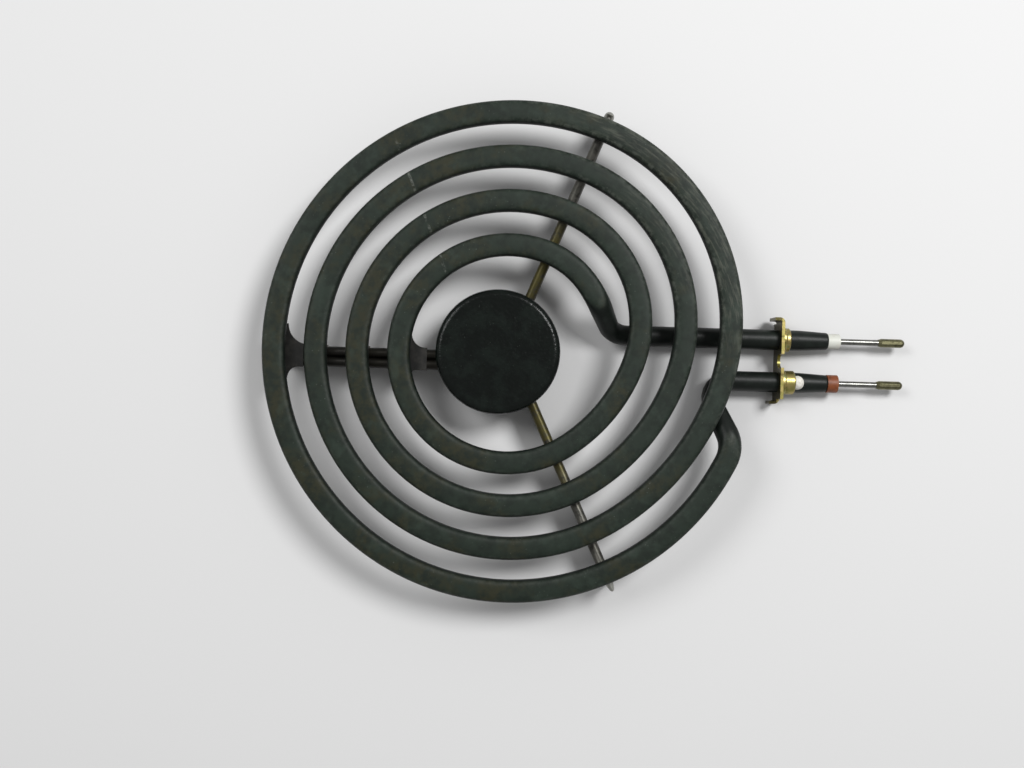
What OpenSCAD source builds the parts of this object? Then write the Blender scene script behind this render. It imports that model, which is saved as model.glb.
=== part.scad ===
// Plug-in burner element for an electric hot plate: a flat spiral tube heater
// held on a two-strip support, with a round centre medallion and two terminal legs.
// X runs along the terminal legs, Z is up, and Z = 0 is the plane the burner stands on.
// The origin lies on that plane, under the middle of the medallion.

/* [Spiral] */
// Turns of the spiral
turns = 4; // [3:1:4]
// Centre line distance between one turn and the next, mm
turn_pitch = 13.7; // [12.5:0.1:15]
// Centre line radius of the outer turn on its long round side, mm
outer_turn_r = 75.5; // [74:0.5:95]
// How much less the radius is where a turn curves in quicker, mm
tighten = 10.5; // [8:0.5:12]
// How much more the radius is where a turn eases onto the next, mm
ease = 4.5; // [2:0.5:6]
// How far the spiral is turned about Z, degrees
spiral_turn = -19.5; // [-25:0.5:-15]
// Centre of the outer turn, along X from the medallion, mm
spiral_x = 4.8; // [0:0.1:8]
// Centre of the outer turn, along Y from the medallion, mm
spiral_y = 0.2; // [-2:0.1:2]

/* [Heater tube] */
// Radius of the tube in the spiral, mm
coil_tube_r = 3.65; // [3:0.05:4]
// Height of the pressed flat above the tube's centre line, mm
coil_flat = 2.35; // [2:0.05:2.9]
// Radius of the tube in the legs, mm
leg_tube_r = 3.3; // [2.8:0.05:3.6]
// Radius of the tube at its swaged ends, mm
end_tube_r = 2.8; // [2.5:0.05:3]
// Wall of the tube, mm
tube_wall = 0.8; // [0.5:0.05:0.9]
// Radius of the resistance winding's outside, mm
winding_r = 1.4; // [1.2:0.05:1.5]

/* [Heights] */
// Depth of the support strips, from the standing plane to the tube, mm
support_h = 13; // [12:0.5:16]
// Height of the legs' centre lines, mm
leg_z = 4.6; // [4.5:0.1:5]

/* [Terminals] */
// Distance between the two legs' centre lines, mm
leg_spacing = 13.8; // [13:0.1:16]
// Where the upper leg's tube ends, along X, mm
upper_tube_end = 107.2; // [104:0.2:125]
// Where the lower leg's tube ends, along X, mm
lower_tube_end = 107.3; // [104:0.2:125]
// Radius of the terminal pins, mm
pin_r = 1; // [0.8:0.05:1.1]
// Length of the upper pin with its contact tip, outside the tube, mm
upper_pin_reach = 25.3; // [20:0.1:30]
// Length of the lower pin with its contact tip, outside the tube, mm
lower_pin_reach = 24.9; // [20:0.1:30]
// Radius of the contact tips, mm
tip_r = 1.4; // [1.3:0.05:1.8]
// Length of the contact tips, mm
tip_length = 8.6; // [7:0.1:10]

/* [Mounting bracket] */
// Face of the bracket towards the terminals, along X, mm
bracket_x = 92.1; // [90:0.1:96]
// Thickness of the bracket's sheet, mm
bracket_sheet = 1; // [0.8:0.1:1.5]
// Width of the bracket, mm
bracket_w = 28; // [26:0.5:34]
// Height of the bracket, mm
bracket_h = 10; // [10:0.5:13]
// Radius of the collars, mm
collar_r = 4.4; // [4.1:0.05:4.5]
// Length of the upper collar, mm
upper_collar_l = 2.6; // [2:0.1:4]
// Length of the lower collar, mm
lower_collar_l = 4.4; // [3:0.1:5]

/* [Support] */
// Width of one folded support strip, mm
strip_w = 3.2; // [2.8:0.1:3.6]
// Sheet thickness of the support strips, mm
strip_sheet = 0.7; // [0.5:0.05:0.9]
// Where the two strips touch on the double arm, along Y, mm
double_arm_y = -2.9; // [-4:0.1:-2]
// Left end of the double arm, along X from the outer turn's centre line, mm
double_arm_end = 0; // [-1:0.5:2]
// Direction of the upper arm, degrees from +X
upper_arm_angle = 68; // [60:1:70]
// Direction of the lower arm, degrees from +X
lower_arm_angle = -65; // [-70:1:-60]
// Length that the single arms show outside the outer turn, mm
arm_nose = 3.8; // [3:0.1:6]

/* [Medallion] */
// Radius of the medallion, mm
medallion_r = 19.7; // [18:0.1:20.5]
// How far the medallion's top is below the cooking plane, mm
medallion_drop = 0.3; // [0:0.1:1]
// Depth of the medallion's skirt, mm
medallion_h = 9.5; // [8:0.5:11]
// Sheet thickness of the medallion, mm
medallion_sheet = 0.8; // [0.6:0.1:1]
// Radius of the medallion's edge, mm
medallion_edge_r = 2; // [1:0.1:2.5]

/* [Hidden] */

round_fn = 64;
coil_z = support_h + coil_tube_r;
cook_z = coil_z + coil_flat;
leg_y = leg_spacing / 2;

// A thin step that keeps a bend's skin inside the straight tube it enters.
skin = 0.02;
// How far a straight tube reaches into the bends at its ends.
lap = 0.3;

// ---- spiral: one turn is four arcs that meet at exact 3-4-5 angles, clockwise ----
ease_angle = 36.8699;
ARC_FROM = [90, 0, -ease_angle, -90];
ARC_SWEEP = [90, ease_angle, 90 - ease_angle, 180];
ARC_STEP = [[0, 1], [1, 0], [0.8, -0.6], [0, -1]];
// The outer turn is met late by its terminal leg, so its first arc is longer than the others.
outer_start = -8;
arc_count = 4 * (turns - 1);

function arc_r(i) = [outer_turn_r - tighten, outer_turn_r + ease, outer_turn_r - turn_pitch,
    outer_turn_r - turn_pitch][i % 4] - turn_pitch * floor(i / 4);
function arc_centre(i) = i == 0 ? [0, outer_turn_r - arc_r(0)] :
    arc_centre(i - 1) + (arc_r(i - 1) - arc_r(i)) * ARC_STEP[i % 4];

function turned(p, a) = [p[0] * cos(a) - p[1] * sin(a), p[0] * sin(a) + p[1] * cos(a)];
function in_part(p) = [spiral_x, spiral_y] + turned(p, spiral_turn);

// The last arc turns in to the upper leg.
inner_bend_r = 28;
inner_bend_angle = ease_angle;
last_centre = arc_centre(arc_count - 1);
last_r = arc_r(arc_count - 1);
inner_bend_centre = last_centre + [0, last_r - inner_bend_r];

// Ends of the spiral, in the part's own frame, and the way the tube leaves it there.
outer_end = in_part(outer_turn_r * [cos(outer_start), sin(outer_start)]);
outer_heading = outer_start + 90 + spiral_turn;
inner_end = in_part(inner_bend_centre
    + inner_bend_r * [cos(90 - inner_bend_angle), sin(90 - inner_bend_angle)]);
inner_heading = -inner_bend_angle + spiral_turn;

// ---- legs: each runs level, turns down, and turns again onto its terminal line ----
outer_lead = 7.5;
inner_lead = 4;
lower_foot_x = 66.5;
upper_foot_x = 37;
drop_bend_r = 10;
foot_bend_r = 7;
// Where the swaging starts, back from the bracket's face.
swage_start = bracket_x + lower_collar_l + 1;

function level(p, z) = [p[0], p[1], z];
function ahead(p, a, d) = p + d * [cos(a), sin(a)];
function lower_path(end_x) = [level(outer_end, coil_z),
    level(ahead(outer_end, outer_heading, outer_lead), coil_z),
    [lower_foot_x, -leg_y, leg_z], [end_x, -leg_y, leg_z]];
function upper_path(end_x) = [level(inner_end, coil_z),
    level(ahead(inner_end, inner_heading, inner_lead), coil_z),
    [upper_foot_x, leg_y, leg_z], [end_x, leg_y, leg_z]];

function unit(v) = v / norm(v);
function turn_at(p, i) = acos(unit(p[i] - p[i - 1]) * unit(p[i + 1] - p[i]));
function bend_inset(p, i) = (i == 1 ? drop_bend_r : foot_bend_r) * tan(turn_at(p, i) / 2);
function leaves(p, i) = p[i] + unit(p[i + 1] - p[i]) * (i == 0 ? 0 : bend_inset(p, i));
function enters(p, i) = p[i] - unit(p[i] - p[i - 1]) * (i == len(p) - 1 ? 0 : bend_inset(p, i));

// A straight rod, or a cone where its two radii differ.
module rod(a, b, r1, r2) {
    v = b - a;
    translate(a) rotate([0, acos(v[2] / norm(v)), atan2(v[1], v[0])])
        cylinder(h = norm(v), r1 = r1, r2 = r2, $fn = round_fn);
}

// A round bend at point i of a path, from one straight to the next.
module bend(p, i, bend_r, r) {
    d = unit(p[i] - p[i - 1]);
    e = unit(p[i + 1] - p[i]);
    n = unit(e - (e * d) * d);
    c = p[i] - d * bend_inset(p, i) + n * bend_r;
    z = cross(-n, d);
    multmatrix([[-n[0], d[0], z[0], c[0]], [-n[1], d[1], z[1], c[1]], [-n[2], d[2], z[2], c[2]],
        [0, 0, 0, 1]])
        rotate_extrude(angle = turn_at(p, i), $fn = 96) translate([bend_r, 0]) circle(r, $fn = round_fn);
}

// One leg of a rod that has radius r_coil in the spiral and r_leg on the terminal line.
module leg_run(p, r_coil, flat, r_leg) {
    level_dir = unit(p[1] - p[0]);
    difference() {
        union() {
            rod(p[0] - level_dir * lap, enters(p, 1) + level_dir * lap, r_coil - skin, r_coil - skin);
            bend(p, 1, drop_bend_r, r_coil - 2 * skin);
            drop_dir = unit(p[2] - p[1]);
            rod(leaves(p, 1) - drop_dir * lap, enters(p, 2) + drop_dir * lap, r_coil - skin, r_leg);
        }
        translate([p[0][0] - 40, p[0][1] - 40, coil_z + flat - skin / 2]) cube([80, 80, 10]);
    }
    bend(p, 2, foot_bend_r, r_leg - skin);
    rod(leaves(p, 2) - [lap, 0, 0], p[3], r_leg, r_leg);
}

module flat_top_round(r, flat) {
    intersection() {
        circle(r, $fn = round_fn);
        translate([-2 * r, -2 * r]) square([4 * r, 2 * r + flat]);
    }
}

module spiral_arc(centre, r, from, sweep, tube_r, flat) {
    translate(centre) rotate_extrude(start = from, angle = -sweep, $fn = 180)
        translate([r, 0]) flat_top_round(tube_r, flat);
}

module spiral(tube_r, flat) {
    translate([spiral_x, spiral_y, coil_z]) rotate([0, 0, spiral_turn]) {
        spiral_arc([0, 0], outer_turn_r, outer_start, 270 + outer_start, tube_r, flat);
        for (i = [0 : arc_count - 1])
            spiral_arc(arc_centre(i), arc_r(i), ARC_FROM[i % 4], ARC_SWEEP[i % 4], tube_r, flat);
        spiral_arc(inner_bend_centre, inner_bend_r, 90, inner_bend_angle, tube_r, flat);
    }
}

// The whole heater run: the spiral and both legs.
module heater_run(tube_r, flat, r_leg, upper_x, lower_x) {
    spiral(tube_r, flat);
    leg_run(upper_path(upper_x), tube_r, flat, r_leg);
    leg_run(lower_path(lower_x), tube_r, flat, r_leg);
}

module element_sheath() {
    color("#39403b")
    difference() {
        union() {
            heater_run(coil_tube_r, coil_flat, leg_tube_r, swage_start, swage_start);
            for (leg = [[leg_y, upper_tube_end], [-leg_y, lower_tube_end]])
                rod([swage_start, leg[0], leg_z], [leg[1], leg[0], leg_z], leg_tube_r, end_tube_r);
        }
        heater_run(coil_tube_r - tube_wall, coil_flat - tube_wall, leg_tube_r - tube_wall,
            swage_start, swage_start);
        for (leg = [[leg_y, upper_tube_end], [-leg_y, lower_tube_end]])
            rod([swage_start - lap, leg[0], leg_z], [leg[1] + 1, leg[0], leg_z],
                end_tube_r - tube_wall, end_tube_r - tube_wall);
    }
}

// ---- terminals ----
// Where the winding is joined to the pins, inside the straight legs.
cold_pin_x = 83;
// How far the end pieces plug into the tube.
plug_l = 3;
plug_r = end_tube_r - tube_wall;
// Centre line along Y, tube end along X and reach of the pin, for each leg.
legs = [[leg_y, upper_tube_end, upper_pin_reach], [-leg_y, lower_tube_end, lower_pin_reach]];

module along_leg(x, y) {
    translate([x, y, leg_z]) rotate([0, 90, 0]) children();
}

// The winding is pressed a little flat with the tube.
module winding_run(upper_x, lower_x) {
    heater_run(winding_r, winding_r - 0.15, winding_r, upper_x, lower_x);
}

module magnesia_core() {
    color("white")
    difference() {
        union() {
            heater_run(coil_tube_r - tube_wall, coil_flat - tube_wall, leg_tube_r - tube_wall,
                swage_start, swage_start);
            for (leg = legs)
                along_leg(swage_start - lap, leg[0])
                    cylinder(h = leg[1] - plug_l - swage_start + lap, r = plug_r, $fn = round_fn);
        }
        winding_run(upper_tube_end, lower_tube_end);
    }
}

module resistance_winding() {
    color("silver") winding_run(cold_pin_x, cold_pin_x);
}

// A stepped pin: thick inside the magnesia, and turned down where it leaves it.
tip_cap = 2.6;
module terminal_pin(leg) {
    step_x = leg[1] - plug_l;
    color("silver") {
        along_leg(cold_pin_x, leg[0]) cylinder(h = step_x - cold_pin_x, r = winding_r, $fn = round_fn);
        along_leg(step_x, leg[0])
            cylinder(h = leg[1] + leg[2] - tip_cap - step_x, r = pin_r, $fn = round_fn);
    }
}
module terminal_pin_upper() { terminal_pin(legs[0]); }
module terminal_pin_lower() { terminal_pin(legs[1]); }

// Round-nosed sleeve on the end of a pin, pressed a little flat above and below.
tip_flat = 0.05;
tip_taper = 1;
module contact_tip(leg) {
    start = leg[1] + leg[2] - tip_length;
    color("#6f6a4a")
    difference() {
        union() {
            along_leg(start, leg[0]) cylinder(h = tip_taper, r1 = pin_r + 0.1, r2 = tip_r, $fn = round_fn);
            along_leg(start + tip_taper, leg[0])
                cylinder(h = tip_length - tip_taper - tip_r, r = tip_r, $fn = round_fn);
            translate([start + tip_length - tip_r, leg[0], leg_z]) sphere(tip_r, $fn = round_fn);
        }
        along_leg(start - 1, leg[0]) cylinder(h = tip_length - tip_cap + 1, r = pin_r, $fn = round_fn);
        for (side = [-1, 1])
            translate([start - 1, leg[0] - tip_r, leg_z + side * (2 * tip_r - tip_flat) - tip_r])
                cube([tip_length + 2, 2 * tip_r, 2 * tip_r]);
    }
}
module contact_tip_upper() { contact_tip(legs[0]); }
module contact_tip_lower() { contact_tip(legs[1]); }

// An end piece: a body that stands against the tube's end, a plug inside it, and the pin's bore.
module end_piece(leg, body_r, body_l, nose_l, nose_r) {
    difference() {
        union() {
            along_leg(leg[1] - plug_l, leg[0]) cylinder(h = plug_l + body_l, r = plug_r, $fn = round_fn);
            along_leg(leg[1], leg[0]) cylinder(h = body_l, r = body_r, $fn = round_fn);
            along_leg(leg[1] + body_l, leg[0])
                cylinder(h = nose_l, r1 = body_r - 0.3, r2 = nose_r, $fn = round_fn);
        }
        along_leg(leg[1] - plug_l - 1, leg[0])
            cylinder(h = plug_l + body_l + nose_l + 2, r = pin_r, $fn = round_fn);
    }
}
bushing_r = 2.5;
bushing_l = 3.8;
module ceramic_bushing() { color("white") end_piece(legs[0], bushing_r, bushing_l, 0.3, bushing_r - 0.6); }
seal_r = 2.9;
seal_l = 3.4;
module silicone_seal() { color("#b5451f") end_piece(legs[1], seal_r, seal_l, 0.4, pin_r + 0.8); }

// ---- mounting bracket ----
tab_l = 2.7;
upper_tab_h = 7.5;
lower_tab_h = 5;
notch_w = 4.4;
notch_depth = 5.2;
fold_r = 1.2;

// One end of the bracket, folded back from the +Y edge of the plate.
module bracket_tab(low, h) {
    translate([bracket_x - fold_r - bracket_sheet / 2, bracket_w / 2 - fold_r - bracket_sheet / 2, low]) {
        rotate_extrude(angle = 90, $fn = round_fn)
            translate([fold_r - bracket_sheet / 2, 0]) square([bracket_sheet, h]);
        translate([-tab_l + fold_r, fold_r - bracket_sheet / 2, 0])
            cube([tab_l - fold_r, bracket_sheet, h]);
    }
}

module mounting_bracket() {
    flat_w = bracket_w - 2 * fold_r - bracket_sheet;
    color("#a89a4e")
    difference() {
        union() {
            translate([bracket_x - bracket_sheet, -flat_w / 2, 0]) cube([bracket_sheet, flat_w, bracket_h]);
            bracket_tab(bracket_h - upper_tab_h, upper_tab_h);
            mirror([0, 1, 0]) bracket_tab(0, lower_tab_h);
        }
        for (side = [-1, 1])
            along_leg(bracket_x - 2, side * leg_y) cylinder(h = 4, r = leg_tube_r, $fn = round_fn);
        along_notch = bracket_h - notch_depth + notch_w / 2;
        translate([bracket_x - 2, 0, along_notch]) rotate([0, 90, 0])
            cylinder(h = 4, r = notch_w / 2, $fn = round_fn);
        translate([bracket_x - 2, -notch_w / 2, along_notch]) cube([4, notch_w, notch_depth]);
    }
}

// A collar staked on the leg against the bracket: a flange, and a neck with a bevelled end.
module collar(y, len) {
    flange = 1.4;
    bevel = 0.5;
    color("#b09a3e")
    along_leg(bracket_x, y) rotate_extrude($fn = round_fn) polygon([[leg_tube_r, 0],
        [collar_r, 0], [collar_r, flange - bevel], [collar_r - bevel, flange],
        [collar_r - bevel, len - bevel / 2], [collar_r - 1.5 * bevel, len], [leg_tube_r, len]]);
}
module collar_upper() { collar(leg_y, upper_collar_l); }
module collar_lower() { collar(-leg_y, lower_collar_l); }

dab_r = 2.3;
dab_forward = 0.8;
dab_up = 2;
module cement_dab() {
    face = bracket_x + lower_collar_l;
    color("ivory")
    difference() {
        translate([face + dab_forward, -leg_y, leg_z + dab_up]) rotate([90, 0, 0])
            sphere(dab_r, $fn = round_fn);
        translate([face - 10, -leg_y - 5, 0]) cube([10, 10, 20]);
        along_leg(face - 1, -leg_y) cylinder(h = swage_start - face + 1, r = leg_tube_r, $fn = round_fn);
        rod([swage_start, -leg_y, leg_z], [lower_tube_end, -leg_y, leg_z], leg_tube_r, end_tube_r);
    }
}

// ---- medallion ----
medallion_top = cook_z - medallion_drop;
medallion_bottom = medallion_top - medallion_h;
hub_plate_t = 1;
hub_gap = 0.3;
lance_r = 0.8;
lance_angles = [0, 125, 235];
slot_gap = 0.4;

module cap_profile(r, h, edge_r) {
    square([r - edge_r, h]);
    square([r, h - edge_r]);
    translate([r - edge_r, h - edge_r]) intersection() {
        circle(edge_r, $fn = round_fn);
        square(edge_r);
    }
}

module medallion_cap() {
    s = medallion_sheet;
    color("#34383a") {
        difference() {
            translate([0, 0, medallion_bottom]) rotate_extrude($fn = 180) difference() {
                cap_profile(medallion_r, medallion_h, medallion_edge_r);
                translate([0, -1])
                    cap_profile(medallion_r - s, medallion_h - s + 1, medallion_edge_r - s);
            }
            slot_h = support_h + hub_gap - medallion_bottom;
            translate([-medallion_r - 1, double_arm_y - strip_w - slot_gap, medallion_bottom - 1])
                cube([medallion_r, 2 * strip_w + 2 * slot_gap, slot_h + 1]);
            for (arm = single_arms)
                translate(level(arm[0], medallion_bottom - 1)) rotate([0, 0, arm[1]])
                    translate([medallion_r / 2, -strip_w / 2 - slot_gap, 0])
                        cube([medallion_r, strip_w + 2 * slot_gap, slot_h + 1]);
        }
        // Dimples pressed in under the hub plate, which hold the medallion down.
        for (a = lance_angles) rotate([0, 0, a])
            translate([medallion_r - s - 2 * lance_r, 0, support_h - lance_r]) rotate([0, 90, 0])
                cylinder(h = 2 * lance_r + s / 2, r = lance_r, $fn = round_fn);
    }
}

module hub_plate() {
    rim_r = medallion_r - medallion_edge_r - hub_gap;
    color("silver") translate([0, 0, support_h]) {
        cylinder(h = hub_plate_t, r = medallion_r - medallion_sheet - hub_gap, $fn = 180);
        difference() {
            cylinder(h = medallion_top - medallion_sheet - support_h, r = rim_r, $fn = 180);
            translate([0, 0, hub_plate_t]) cylinder(h = 20, r = rim_r - hub_plate_t, $fn = 180);
        }
    }
}

// ---- support: two folded strips, side by side on the double arm ----
upper_strip_y = double_arm_y + strip_w / 2;
lower_strip_y = double_arm_y - strip_w / 2;
upper_corner = [2, upper_strip_y];
lower_corner = [5.9, lower_strip_y];
single_arms = [[upper_corner, upper_arm_angle], [lower_corner, lower_arm_angle]];
arm_left = spiral_x - outer_turn_r + double_arm_end;
nose_rise = 0.9;

// Distance from a point to the outer turn's outside, along a direction.
outer_edge_r = outer_turn_r + coil_tube_r;
function to_edge(p, a) = let(d = [cos(a), sin(a)], q = p - [spiral_x, spiral_y], b = q * d)
    -b + sqrt(b * b - q * q + outer_edge_r * outer_edge_r);

// A straight blade along +X with a round top and round ends.
module blade(len, r, h) {
    rotate([90, 0, 90]) linear_extrude(len) {
        translate([-r, 0]) square([2 * r, h - r]);
        translate([0, h - r]) circle(r, $fn = round_fn);
    }
}
// A round post with a domed top.
module post(r, h) {
    rotate_extrude($fn = round_fn)
        intersection() {
            union() {
                square([r, h - r]);
                translate([0, h - r]) circle(r, $fn = round_fn);
            }
            square([r, h - skin]);
        }
}

// The fold between the two arms of a strip, pressed flat on top under the medallion.
corner_grow = 0.3;
corner_shift = 0.4;
corner_press = 0.1;
corner_press_r = 3;

module strip_body(corner, angle, r, h) {
    left = arm_left + strip_w / 2;
    far = to_edge(corner, angle);
    inward = (180 + (angle < 0 ? angle + 360 : angle)) / 2;
    translate([left, corner[1], 0]) post(r - skin, h);
    translate(level(ahead(corner, angle, far + arm_nose - strip_w / 2), 0))
        post(r - skin, h + nose_rise);
    difference() {
        union() {
            translate([left, corner[1], 0]) blade(corner[0] - left, r, h);
            translate(level(corner, 0)) rotate([0, 0, angle])
                blade(far + arm_nose - strip_w / 2, r, h);
            translate(level(ahead(corner, inward, corner_shift), 0))
                cylinder(h = h + 0.5, r = r + corner_grow, $fn = round_fn);
        }
        translate(level(corner, h - corner_press)) cylinder(h = 2, r = corner_press_r, $fn = round_fn);
    }
}

module strip(corner, angle) {
    color("#77705c")
    difference() {
        // The nose stands up outside the outer turn, so the turn can't slide off.
        strip_body(corner, angle, strip_w / 2, support_h);
        translate([0, 0, -1]) strip_body(corner, angle, strip_w / 2 - strip_sheet, support_h - strip_sheet + 1);
        for (clip = clips) clip_seat(clip[0], clip[1]);
        for (x = rivet_x) translate([x, double_arm_y, rivet_z]) rotate([90, 0, 0])
            cylinder(h = 4 * strip_w, r = rivet_r, center = true, $fn = round_fn);
    }
}
module support_strip_upper() { strip(upper_corner, upper_arm_angle); }
module support_strip_lower() { strip(lower_corner, lower_arm_angle); }

rivet_x = [spiral_x - outer_turn_r + turn_pitch, spiral_x - outer_turn_r + 2 * turn_pitch];
rivet_z = support_h / 2;
rivet_r = 1;
rivet_head_r = 1.7;
rivet_head_t = 0.6;
module arm_rivets() {
    reach = 2 * strip_w;
    color("silver") for (x = rivet_x) translate([x, double_arm_y, rivet_z]) rotate([90, 0, 0]) {
        cylinder(h = reach, r = rivet_r, center = true, $fn = round_fn);
        for (side = [-1, 1]) translate([0, 0, side * (reach + rivet_head_t) / 2])
            cylinder(h = rivet_head_t, r = rivet_head_r, center = true, $fn = round_fn);
    }
}

// ---- clips: a saddle under a turn, with a web that flares out onto the double arm ----
clip_sheet = 0.8;
clip_out = 2.4;
clip_in = 5;
clip_margin = 0.4;
// Centre and radius of the turn each clip holds, and the two radii of its flared web.
clips = [[[spiral_x, spiral_y], outer_turn_r, 6.5, 3.5],
    [in_part(last_centre), last_r, 4.5, 1.5]];

// What a clip takes out of the strips.
module clip_seat(centre, turn_r) {
    tube_x = centre[0] - turn_r;
    translate([tube_x - clip_out - skin, double_arm_y - 2 * strip_w, support_h - clip_sheet])
        cube([clip_out + coil_tube_r + clip_in + 2 * skin, 4 * strip_w, clip_sheet + 1]);
}

module clip(centre, turn_r, upper_flare, lower_flare) {
    tube_x = centre[0] - turn_r;
    inner_x = tube_x + coil_tube_r;
    top = double_arm_y + strip_w + clip_margin;
    bottom = double_arm_y - strip_w - clip_margin;
    color("#2b2a28") translate([0, 0, support_h - clip_sheet]) linear_extrude(clip_sheet) difference() {
        translate([tube_x - clip_out, bottom - lower_flare])
            square([clip_out + coil_tube_r + clip_in, top - bottom + upper_flare + lower_flare]);
        translate([inner_x + upper_flare, top + upper_flare]) circle(upper_flare, $fn = round_fn);
        translate([inner_x + upper_flare, top]) square([clip_in, upper_flare + 1]);
        translate([inner_x + lower_flare, bottom - lower_flare]) circle(lower_flare, $fn = round_fn);
        translate([inner_x + lower_flare, bottom - lower_flare - 1]) square([clip_in, lower_flare + 1]);
    }
}
module outer_turn_clip() { clip(clips[0][0], clips[0][1], clips[0][2], clips[0][3]); }
module inner_turn_clip() { clip(clips[1][0], clips[1][1], clips[1][2], clips[1][3]); }

element_sheath();
magnesia_core();
resistance_winding();
terminal_pin_upper();
terminal_pin_lower();
contact_tip_upper();
contact_tip_lower();
ceramic_bushing();
silicone_seal();
mounting_bracket();
collar_upper();
collar_lower();
cement_dab();
medallion_cap();
hub_plate();
support_strip_upper();
support_strip_lower();
arm_rivets();
outer_turn_clip();
inner_turn_clip();
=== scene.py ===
"""Fine shapes, finishes and studio for a plug-in spiral burner element."""

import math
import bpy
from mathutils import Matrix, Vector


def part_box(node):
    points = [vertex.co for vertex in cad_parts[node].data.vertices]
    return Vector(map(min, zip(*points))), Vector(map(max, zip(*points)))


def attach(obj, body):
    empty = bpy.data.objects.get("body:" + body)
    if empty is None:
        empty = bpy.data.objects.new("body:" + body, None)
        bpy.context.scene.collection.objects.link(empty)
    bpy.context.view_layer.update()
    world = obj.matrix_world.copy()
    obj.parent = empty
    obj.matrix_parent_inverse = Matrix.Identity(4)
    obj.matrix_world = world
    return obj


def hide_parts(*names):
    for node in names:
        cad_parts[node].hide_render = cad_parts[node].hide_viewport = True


bl_info = {
    "name": "Spiral burner element",
    "version": (1, 0, 0),
    "blender": (4, 5, 0),
    "location": "View3D > Sidebar > Burner",
    "description": "Fine shapes and surface finishes for a plug-in spiral burner element",
    "category": "Object",
}

import bmesh
import bpy
from bpy.props import FloatProperty, FloatVectorProperty, IntProperty, PointerProperty
from mathutils import Matrix, Vector

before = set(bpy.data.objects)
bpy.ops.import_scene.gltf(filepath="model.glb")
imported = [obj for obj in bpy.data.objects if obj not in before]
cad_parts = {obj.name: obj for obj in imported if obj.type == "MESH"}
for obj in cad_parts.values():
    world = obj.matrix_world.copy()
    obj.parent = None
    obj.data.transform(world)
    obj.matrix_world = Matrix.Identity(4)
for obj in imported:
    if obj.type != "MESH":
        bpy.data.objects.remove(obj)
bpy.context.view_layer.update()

# Sizes are in millimetres while a shape is made, and in metres once it is finished.
MM = 0.001
BODY = "root"


def box_mm(node):
    """Lowest and highest corner of a CAD node, in millimetres."""
    low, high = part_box(node)
    return Vector(low) / MM, Vector(high) / MM


COOKING_HEIGHT = box_mm("element_sheath")[1].z
BRACKET_FACE = box_mm("mounting_bracket")[1].x
# The middle of the outer turn, which the spiral is laid out from.
SPIRAL_AT = Vector((4.8, 0.2, 0.0))


# ---------------------------------------------------------------- node materials


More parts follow.
